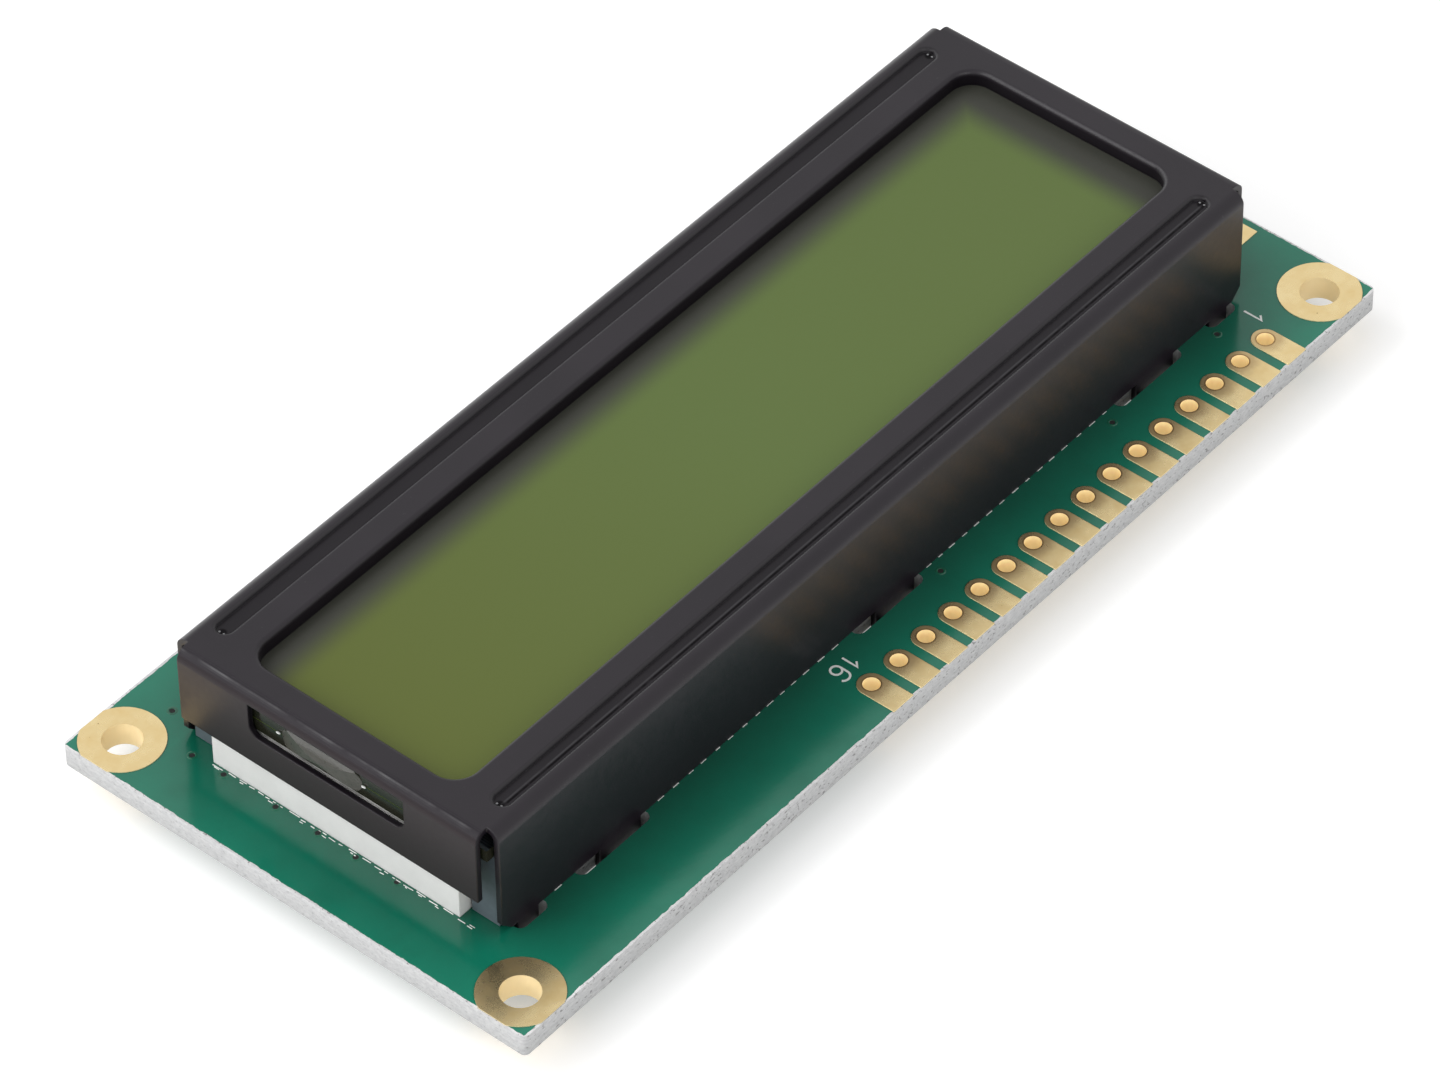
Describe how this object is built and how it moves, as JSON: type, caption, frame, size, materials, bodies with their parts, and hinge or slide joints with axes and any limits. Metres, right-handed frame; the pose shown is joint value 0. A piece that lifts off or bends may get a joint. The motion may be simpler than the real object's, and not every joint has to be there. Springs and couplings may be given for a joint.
{
  "type": "character lcd module",
  "caption": "Character LCD module: green circuit board with a reflective display under a folded black metal bezel.",
  "frame": {"origin": "centre of the four mounting holes, on the board's back face", "axes": "+X along the board's length from pin 1 to pin 16, +Y towards the header edge, +Z out of the display"},
  "size_m": [0.08, 0.036, 0.012],
  "materials": {
    "solder_mask": "gloss",
    "gold": "satin",
    "bezel_paint": "satin",
    "film": "satin",
    "glass": "clear",
    "resin": "gloss",
    "elastomer": "matte",
    "white_plastic": "matte",
    "black_resin": "gloss",
    "silicon": "satin",
    "chip_ceramic": "matte",
    "solder": "satin"
  },
  "bodies": {
    "root": {"circuit_board": "solder_mask", "mounting_lands": "gold", "header_pads": "gold", "supply_pads": "gold", "contact_fingers": "gold", "bezel": "bezel_paint", "front_polarizer": "film", "front_glass": "glass", "perimeter_seal": "resin", "port_plug": "resin", "rear_glass": "glass", "rear_polarizer": "film", "contact_strip_upper": "elastomer", "contact_strip_lower": "elastomer", "diffusing_film": "white_plastic", "diffuser_plate": "white_plastic", "backlight_housing": "white_plastic", "light_board": "white_plastic", "light_chips": "resin", "backlight_pins": "solder", "pin_lands": "gold", "pin_solder": "solder", "controller_die": "silicon", "controller_cap": "black_resin", "driver_die": "silicon", "driver_cap": "black_resin", "chip_lands": "gold", "chip_resistors": "chip_ceramic", "chip_capacitors": "chip_ceramic", "chip_terminals": "solder", "chip_solder": "solder"}
  },
  "joints": []
}
